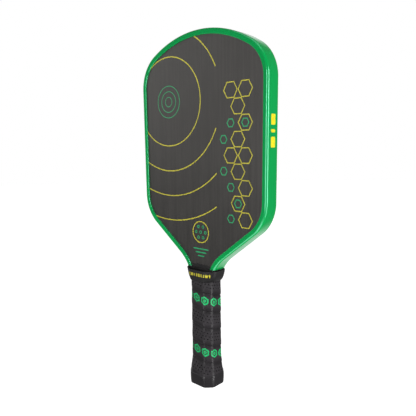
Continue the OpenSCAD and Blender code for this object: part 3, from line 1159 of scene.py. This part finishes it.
# Printed design: ripples from a mark near one shoulder, cells along the other side, a plain ball

RIPPLE_CENTRE = (-50 * MM, 338 * MM)
RIPPLES = [52 * MM, 82 * MM, 112 * MM, 142 * MM]
# Angles at which a ripple is tested, and the least stretch of it that is kept
RIPPLE_CHECKS = 720
RIPPLE_LEAST = math.radians(6)
# Distance inside the outline, and distance across, at which the ripples end
LINE_END = 3.6 * MM
LINES_STOP_X = 25 * MM
MARK_RINGS = [19 * MM, 12.5 * MM, 6 * MM]
# Stroke of the mark's rings, as a share of the stroke of the other shapes
MARK_STROKE = 0.8
CIRCLE_POINTS = 64
CELL_PITCH = 20 * MM
CELL_RADIUS = 0.5 * CELL_PITCH
SMALL_CELL_RADIUS = 0.27 * CELL_PITCH
CELL_ORIGIN = (46 * MM, 206 * MM)
# Columns and rows of the large and the small cells
CELLS = [(3, 0), (2, 1), (3, 2), (2, 3), (3, 4), (2, 5), (3, 6), (2, 7), (3, 8), (1, 4), (1, 8)]
SMALL_CELLS = [(1, 0), (0, 3), (1, 2), (0, 5), (1, 6), (2, 1), (3, 6)]
BALL_CENTRE = (0, 186 * MM)
BALL_RADIUS = 13 * MM
BALL_DOT = 1.9 * MM
BALL_DOT_POINTS = 24
BALL_DOT_STROKE = 0.9 * MM
BALL_DOTS = 6
BALL_DOTS_OUT = 7.3 * MM
BAR_WIDTHS = [24 * MM, 17 * MM, 10 * MM]
BAR_TALL = 1.5 * MM
BAR_ROUNDING = 0.6 * MM
BAR_TOP = 166 * MM
BAR_PITCH = 4.2 * MM
# Radius of the cells on the grip and of the small ones in their middles
GRIP_CELL = 5.4 * MM
GRIP_CELL_CENTRE = 2.1 * MM
GRIP_CENTRE_STROKE = 1.2 * MM
GRIP_CELL_PITCH = 12 * MM
GRIP_CELLS_BESIDE = 3
# Share of the ink's film that is sunk in the tape
GRIP_INK_SUNK = 0.6
DASHES = 9
# Share of the collar's height at which the row of dashes runs
DASH_SHARE = 0.6
DASH_START = 1.6 * MM
DASH_PITCH = 3.7 * MM
DASH_LONG = 3.1 * MM
DASH_SHORT = 1.7 * MM
DASH_TALL = 3.6 * MM
LONG_EVERY = 3
# Height from the middle and length of the blocks on the guard
GUARD_BLOCKS = [(11.5 * MM, 11 * MM), (0, 3.2 * MM), (-11.5 * MM, 11 * MM)]
GUARD_BLOCK_WIDE = 7.4 * MM
GUARD_BLOCK_ROUNDING = 1.5 * MM
# Share of the way down the guard's straight side
GUARD_BLOCKS_DOWN = 0.42


def ripple_spans(radius):
    """Stretches of a ripple that lie on the face, clear of the cells, as (start, end) angles."""
    spans = []
    start = None
    for i in range(RIPPLE_CHECKS + 1):
        angle = -math.pi + 2 * math.pi * i / RIPPLE_CHECKS
        x = RIPPLE_CENTRE[0] + radius * math.cos(angle)
        z = RIPPLE_CENTRE[1] + radius * math.sin(angle)
        shown = head_inset(x, z) > LINE_END and x < LINES_STOP_X
        if shown and start is None:
            start = angle
        if start is not None and (not shown or i == RIPPLE_CHECKS):
            spans.append((start, angle))
            start = None
    return [span for span in spans if span[1] - span[0] > RIPPLE_LEAST]


def cell_places(cells):
    """Centres of honeycomb cells with a point upward; columns are half a pitch apart."""
    return [(CELL_ORIGIN[0] + (column - 1) * CELL_PITCH / 2,
             CELL_ORIGIN[1] + row * CELL_PITCH * math.sqrt(3) / 2) for column, row in cells]


def cells(name, radius, places, film, stroke):
    """Cells with a point upward, at places."""
    pattern = ring_shape(name, CELL_SIDES, radius, stroke, film, turn=math.pi / 6)
    return repeat_shape(pattern, cell_places(places))


def yellow_shapes(film, line, stroke):
    """Yellow part of the face print, on the plane of the front face."""
    shapes = [arc_shape("ripple", RIPPLE_CENTRE, radius, start, end, line, film)
              for radius in RIPPLES for start, end in ripple_spans(radius)]
    shapes += cells("cell", CELL_RADIUS, CELLS, film, stroke)
    ball = ring_shape("ball", CIRCLE_POINTS, BALL_RADIUS, line, film)
    return shapes + [shifted(ball, *BALL_CENTRE)]


def green_shapes(film, stroke):
    """Green part of the face print."""
    shapes = []
    for radius in MARK_RINGS:
        ring = ring_shape("mark_ring", CIRCLE_POINTS, radius, MARK_STROKE * stroke, film)
        shapes.append(shifted(ring, *RIPPLE_CENTRE))
    shapes += cells("small_cell", SMALL_CELL_RADIUS, SMALL_CELLS, film, stroke)
    dot = ring_shape("ball_dot", BALL_DOT_POINTS, BALL_DOT, BALL_DOT_STROKE, film)
    ball = Vector(BALL_CENTRE)
    dots = [on_arc(ball, BALL_DOTS_OUT, 2 * math.pi * i / BALL_DOTS) for i in range(BALL_DOTS)]
    shapes += repeat_shape(dot, dots + [ball])
    for i, wide in enumerate(BAR_WIDTHS):
        bar = plate_shape("bar", wide, BAR_TALL, BAR_ROUNDING, film)
        shapes.append(shifted(bar, 0, BAR_TOP - BAR_PITCH * i))
    return shapes


def face_print(name, shapes, rear):
    """Joins shapes and lays them on a face."""
    piece = join_pieces(name, shapes)
    lay = Matrix.Translation((0, -FACE_Y + settings("print").film, 0))
    if rear:
        lay = Matrix.Rotation(math.pi, 4, "Z") @ lay
    piece.data.transform(lay)
    return piece


def grip_print():
    """Rows of cells wound with the tape, where the bands are printed."""
    ink = settings("print")
    thickness = settings("grip").thickness
    winding = Winding()
    steps = range(-GRIP_CELLS_BESIDE, GRIP_CELLS_BESIDE + 1)
    places = [(band + i * GRIP_CELL_PITCH, BAND_ACROSS) for band in winding.band_places() for i in steps]
    ring = ring_shape("grip_cell", CELL_SIDES, GRIP_CELL, ink.grip_stroke, ink.film, cuts=3)
    centre = ring_shape("grip_cell_centre", CELL_SIDES, GRIP_CELL_CENTRE, GRIP_CENTRE_STROKE, ink.film,
                        cuts=1)
    piece = join_pieces("grip_print", repeat_shape(ring, places) + repeat_shape(centre, places))

    def lay(point):
        raised = thickness - point.y - GRIP_INK_SUNK * ink.film
        return winding.wrap(Vector((point.x, point.z, raised)))

    move_points(piece, lay)
    return close_piece(piece)


def collar_ring(share):
    """Half width, half depth and corner cuts of the collar's outside at a share of its height."""
    stations = [(0.0, 0.0, 0.0)] + COLLAR_PROFILE
    after = next(i for i, station in enumerate(stations) if station[0] >= share)
    below = Vector(stations[after - 1])
    above = Vector(stations[after])
    station = below.lerp(above, (share - below[0]) / (above[0] - below[0]))
    _, x, y = collar_loop(*station)
    _, wide, deep = grown(0, COLLAR_EDGE)
    cut = octagon_cut(COLLAR_EDGE)
    return x, y, cut * x / wide, cut * y / deep


def collar_print(collar):
    """Row of dashes on the front of the collar and round its right corner, laid on the bowl."""
    film = settings("print").film
    low, high = COLLAR_BOX
    middle = low[2] + DASH_SHARE * (high[2] - low[2])
    x, y, cut_x, cut_y = collar_ring(DASH_SHARE)
    start = Vector((cut_x - x, -y))
    corner = Vector((x - cut_x, -y))
    end = Vector((x, cut_y - y))
    front = (corner - start).length
    shapes = []
    for i in range(DASHES):
        run = DASH_START + DASH_PITCH * i
        way = ((corner - start) if run < front else (end - corner)).normalized()
        here = start + way * run if run < front else corner + way * (run - front)
        dash = add_piece("dash", bpy.ops.mesh.primitive_grid_add, size=1, x_subdivisions=4,
                         y_subdivisions=5, rotation=(math.pi / 2, 0, 0))
        stretch_piece(dash, DASH_LONG if i % LONG_EVERY == 1 else DASH_SHORT, DASH_TALL)
        dash.data.transform(Matrix.Translation((here.x, here.y, middle))
                            @ Matrix.Rotation(math.atan2(way.y, way.x), 4, "Z"))
        shapes.append(dash)
    piece = join_pieces("collar_print", shapes)
    apply_modifier(piece, "SHRINKWRAP", target=collar, wrap_method="NEAREST_SURFACEPOINT",
                   wrap_mode="ABOVE_SURFACE", offset=film)
    apply_modifier(piece, "SOLIDIFY", thickness=2 * film, offset=-1)
    return close_piece(piece)


def side_print():
    """Blocks on the right side of the guard."""
    film = settings("print").film
    sizes = settings("outline")
    corners = outline_frame()
    shapes = []
    for z, tall in GUARD_BLOCKS:
        block = plate_shape("guard_block", GUARD_BLOCK_WIDE, tall, GUARD_BLOCK_ROUNDING, film)
        shapes.append(shifted(block, 0, z))
    piece = join_pieces("guard_print", shapes)
    start = on_arc(corners["shoulder"], sizes.shoulder_radius, corners["side_angle"])
    end = on_arc(corners["hip"], sizes.hip_radius, corners["side_angle"])
    middle = start.lerp(end, GUARD_BLOCKS_DOWN)
    piece.data.transform(Matrix.Translation((middle.x - film, 0, middle.y))
                         @ Matrix.Rotation(-corners["side_angle"], 4, "Y")
                         @ Matrix.Rotation(math.pi / 2, 4, "Z"))
    return close_piece(piece)


# Stage

FRAME_PIXELS = 416
SENSOR = 36.0
CAMERA_SIGHT = 100
# Direction that the world's light comes from, and its levels along it
WORLD_SLANT = (-0.78, 0.6, -0.2)
WORLD_LEVELS = [(0.0, 0.12), (0.71, 0.13), (0.84, 0.95), (1.0, 1.0)]
WHITE = (1, 1, 1, 1)
FLOOR_COLOUR = (0.9, 0.9, 0.9, 1)
LIGHT_AIM = Vector((0, 0, 0.25))
LIGHTS = [
    # name, azimuth from the front in degrees, height of its middle, distance, width, height, power
    ("key_left", -60, 0.78, 1.5, 0.95, 1.2, 5.7),
    ("strip_front", 0, 0.29, 0.9, 0.2, 0.5, 4.8),
    ("strip_right", 92, 0.36, 0.9, 0.2, 0.64, 7.8),
    ("strip_front_low", 0, -0.28, 0.9, 0.18, 0.3, 0.9),
    ("strip_right_low", 84, -0.2, 0.9, 0.18, 0.46, 3.2),
    ("top", 30, 1.5, 0.3, 1.0, 1.0, 4.0),
    ("bounce", 15, -0.45, 0.5, 0.8, 0.6, 4.2),
]
# Lamps kept off some pieces, or on them alone
FLAGS = {
    "key_left": ("EXCLUDE", ["edge_guard_shell", "grip_collar_shell", "neck_band"]),
    "bounce": ("INCLUDE", ["edge_guard_shell"]),
}


def round_axis(azimuth, distance, height):
    """Place at an angle round the handle's axis, from the front to the right."""
    return Vector((math.sin(azimuth) * distance, -math.cos(azimuth) * distance, height))


def set_camera(stage):
    """Camera at the photograph's angle."""
    data = bpy.data.cameras.new("Camera")
    data.sensor_width = SENSOR
    data.lens = stage.focal_pixels / FRAME_PIXELS * SENSOR
    data.clip_end = CAMERA_SIGHT
    camera = bpy.data.objects.new("Camera", data)
    bpy.context.scene.collection.objects.link(camera)
    camera.matrix_world = (
        Matrix.Translation(round_axis(stage.azimuth, stage.distance, stage.height))
        @ Matrix.Rotation(stage.azimuth + stage.yaw, 4, "Z")
        @ Matrix.Rotation(math.pi / 2 - stage.pitch, 4, "X") @ Matrix.Rotation(stage.roll, 4, "Z"))
    bpy.context.scene.camera = camera


def set_world():
    """White backdrop; its light comes mostly from behind and the left."""
    world = bpy.data.worlds.new("Studio")
    bpy.context.scene.world = world
    world.use_nodes = True
    tree = world.node_tree
    tree.nodes.clear()
    out = node(tree, "ShaderNodeOutputWorld")
    backdrop = node(tree, "ShaderNodeBackground", Strength=1.0, Color=WHITE)
    light = node(tree, "ShaderNodeBackground", Strength=1.0)
    where = node(tree, "ShaderNodeTexCoord")
    slant = node(tree, "ShaderNodeVectorMath", operation="DOT_PRODUCT")
    slant.inputs[1].default_value = WORLD_SLANT
    tree.links.new(where.outputs["Generated"], slant.inputs[0])
    share = spread(tree, slant.outputs["Value"], 0.0, 1.0, start=-1.0, end=1.0)
    tree.links.new(greys(tree, share, WORLD_LEVELS), light.inputs["Color"])
    path = node(tree, "ShaderNodeLightPath")
    mix = node(tree, "ShaderNodeMixShader")
    tree.links.new(path.outputs["Is Camera Ray"], mix.inputs["Fac"])
    tree.links.new(light.outputs["Background"], mix.inputs[1])
    tree.links.new(backdrop.outputs["Background"], mix.inputs[2])
    tree.links.new(mix.outputs["Shader"], out.inputs["Surface"])


def set_floor(stage):
    """Pale round floor below the held paddle."""
    material, _, shader = new_finish("floor_white")
    shader.inputs["Base Color"].default_value = FLOOR_COLOUR
    shader.inputs["Roughness"].default_value = 0.9
    shader.inputs["Emission Color"].default_value = WHITE
    shader.inputs["Emission Strength"].default_value = 0.9
    floor = add_piece("floor", bpy.ops.mesh.primitive_circle_add, vertices=96, radius=stage.floor_radius,
                      fill_type="NGON", location=(0, 0, CAD_BOX[0][2] - stage.floor_drop))
    close_piece(floor, outward=False)
    floor.data.materials.append(material)
    floor.visible_diffuse = False
    floor.visible_glossy = False


def flag_lamp(lamp, state, pieces):
    """Keeps a lamp's light off some pieces, or on them alone, as a flag does in a studio."""
    reach = bpy.data.collections.new(lamp.name + "_reach")
    for name in pieces:
        reach.objects.link(bpy.data.objects[name])
    lamp.light_linking.receiver_collection = reach
    for member in reach.collection_objects:
        member.light_linking.link_state = state


def set_lights():
    """Soft boxes round the paddle: upright strips beside it, tilted boxes above and below it."""
    for name, azimuth, height, distance, wide, tall, power in LIGHTS:
        data = bpy.data.lights.new(name, "AREA")
        data.shape = "RECTANGLE"
        data.size = wide
        data.size_y = tall
        data.energy = power
        lamp = bpy.data.objects.new(name, data)
        bpy.context.scene.collection.objects.link(lamp)
        lamp.location = round_axis(math.radians(azimuth), distance, height)
        way = lamp.location - LIGHT_AIM
        if name.startswith("strip"):
            way.z = 0
        lamp.rotation_euler = way.to_track_quat("Z", "Y").to_euler()
        if name in FLAGS:
            flag_lamp(lamp, *FLAGS[name])


# Operators

WALL_TINT = 0.7
INNER_FINISHES = [
    # finish, colour, scale of its speckle, contrast, roughness, stretch, nodes that have it
    ("core_plastic", (0.69, 0.66, 0.56), 240, 0.08, 0.45, EVEN, ["core_honeycomb"]),
    ("rim_foam", (0.79, 0.74, 0.58), 900, 0.16, 0.9, EVEN, ["foam_rim"]),
    ("glue_film", (0.5, 0.4, 0.2), 120, 0.2, 0.3, EVEN, ["front_glue_film", "rear_glue_film"]),
    ("tape_paper", (0.49, 0.55, 0.51), 1500, 0.1, 0.8, EVEN, ["edge_tape"]),
    ("pallet_wood", (0.43, 0.3, 0.15), 60, 0.25, 0.6, (8, 8, 0.5),
     ["handle_shell_front", "handle_shell_rear"]),
    ("finishing_tape", (0.012, 0.012, 0.013), 1200, 0.4, 0.5, EVEN, ["finishing_tape"]),
]


def dress_nodes(names, material):
    """Gives frame nodes their finish."""
    for name in names:
        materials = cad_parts[name].data.materials
        materials.clear()
        materials.append(material)


class PADDLE_OT_faces(bpy.types.Operator):
    """Finish the two carbon faces and the wall round the panel"""
    bl_idname = "paddle.faces"
    bl_label = "Faces"

    def execute(self, context):
        carbon = settings("colours").carbon
        dress_nodes(["front_skin", "rear_skin"], carbon_finish("raw_carbon", carbon))
        dress_nodes(["edge_wrap"], carbon_finish("carbon_wall", tinted(carbon, WALL_TINT)))
        return {"FINISHED"}


class PADDLE_OT_core(bpy.types.Operator):
    """Finish the pieces inside the panel and the handle"""
    bl_idname = "paddle.core"
    bl_label = "Core"

    def execute(self, context):
        for *finish, names in INNER_FINISHES:
            dress_nodes(names, speckled_finish(*finish))
        return {"FINISHED"}


class PADDLE_OT_guard(bpy.types.Operator):
    """Model the green edge guard"""
    bl_idname = "paddle.guard"
    bl_label = "Edge guard"

    def execute(self, context):
        finish = moulded_finish("guard_plastic", settings("colours").guard, roughness=0.15, grain=700,
                                depth=0.012, tint=(0.42, 1.0, 0.88), gloss=1.0, ior=1.55)
        finish_piece(make_guard(), "paddle", finish, ("edge_guard",), smooth=40)
        return {"FINISHED"}


class PADDLE_OT_neck(bpy.types.Operator):
    """Model the rubber band on the neck, over the guard's ends"""
    bl_idname = "paddle.neck"
    bl_label = "Neck band"

    def execute(self, context):
        finish = rubber_finish("neck_rubber", settings("colours").rubber)
        finish_piece(make_neck(), "paddle", finish, smooth=40)
        return {"FINISHED"}


class PADDLE_OT_cap(bpy.types.Operator):
    """Model the butt cap"""
    bl_idname = "paddle.cap"
    bl_label = "Butt cap"

    def execute(self, context):
        finish = moulded_finish("cap_plastic", settings("colours").cap, roughness=0.34, grain=1000,
                                depth=0.03, gloss=0.4)
        finish_piece(make_cap(), "paddle", finish, ("butt_cap",), smooth=40)
        return {"FINISHED"}


class PADDLE_OT_grip(bpy.types.Operator):
    """Model the wound grip tape"""
    bl_idname = "paddle.grip"
    bl_label = "Grip tape"

    def execute(self, context):
        finish = cushion_finish("grip_cushion", settings("colours").grip)
        finish_piece(make_grip(), "paddle", finish, ("grip_tape",), smooth=50)
        return {"FINISHED"}


class PADDLE_OT_collar(bpy.types.Operator):
    """Model the rubber collar"""
    bl_idname = "paddle.collar"
    bl_label = "Collar"

    def execute(self, context):
        finish = rubber_finish("collar_rubber", settings("colours").rubber)
        finish_piece(make_collar(), "collar", finish, ("grip_collar",), smooth=50)
        return {"FINISHED"}


class PADDLE_OT_prints(bpy.types.Operator):
    """Print the faces, the guard, the grip and the collar"""
    bl_idname = "paddle.prints"
    bl_label = "Prints"

    def execute(self, context):
        colours = settings("colours")
        ink = settings("print")
        yellow = ink_finish("yellow_ink", colours.yellow)
        green = ink_finish("green_ink", colours.green)
        for side, rear in (("front", False), ("rear", True)):
            piece = face_print(side + "_print_yellow", yellow_shapes(ink.film, ink.line, ink.stroke), rear)
            finish_piece(piece, "paddle", yellow)
            piece = face_print(side + "_print_green", green_shapes(ink.film, ink.stroke), rear)
            finish_piece(piece, "paddle", green)
        finish_piece(side_print(), "paddle", ink_finish("guard_ink", colours.guard_yellow))
        finish_piece(grip_print(), "paddle", ink_finish("grip_ink", colours.grip_green))
        collar = bpy.data.objects["grip_collar_shell"]
        finish_piece(collar_print(collar), "collar", yellow)
        return {"FINISHED"}


class PADDLE_OT_stage(bpy.types.Operator):
    """Set the camera, the world, the floor and the lights"""
    bl_idname = "paddle.stage"
    bl_label = "Stage"

    def execute(self, context):
        stage = settings("stage")
        set_camera(stage)
        set_world()
        set_floor(stage)
        set_lights()
        context.scene.view_settings.view_transform = "Standard"
        return {"FINISHED"}


STEPS = [PADDLE_OT_faces, PADDLE_OT_core, PADDLE_OT_guard, PADDLE_OT_neck, PADDLE_OT_cap,
         PADDLE_OT_grip, PADDLE_OT_collar, PADDLE_OT_prints, PADDLE_OT_stage]


# Sidebar panel and registration

class PADDLE_PT_panel(bpy.types.Panel):
    """Sidebar panel with the sizes and the steps of the paddle"""
    bl_idname = "PADDLE_PT_panel"
    bl_label = "Paddle"
    bl_space_type = "VIEW_3D"
    bl_region_type = "UI"
    bl_category = "Paddle"

    def draw(self, context):
        for name, group in SETTINGS.items():
            for key in group.__annotations__:
                self.layout.prop(getattr(context.scene, name), key)
        for step in STEPS:
            self.layout.operator(step.bl_idname)


def register():
    """Registers the settings, the steps and the panel."""
    for name, group in SETTINGS.items():
        bpy.utils.register_class(group)
        setattr(bpy.types.Scene, name, bpy.props.PointerProperty(type=group))
    for step in STEPS:
        bpy.utils.register_class(step)
    bpy.utils.register_class(PADDLE_PT_panel)


def unregister():
    """Takes back what register added."""
    bpy.utils.unregister_class(PADDLE_PT_panel)
    for step in reversed(STEPS):
        bpy.utils.unregister_class(step)
    for name, group in SETTINGS.items():
        delattr(bpy.types.Scene, name)
        bpy.utils.unregister_class(group)


def main():
    """Builds the paddle step by step."""
    register()
    for step in STEPS:
        family, name = step.bl_idname.split(".")
        getattr(getattr(bpy.ops, family), name)()


if __name__ == "__main__":
    main()
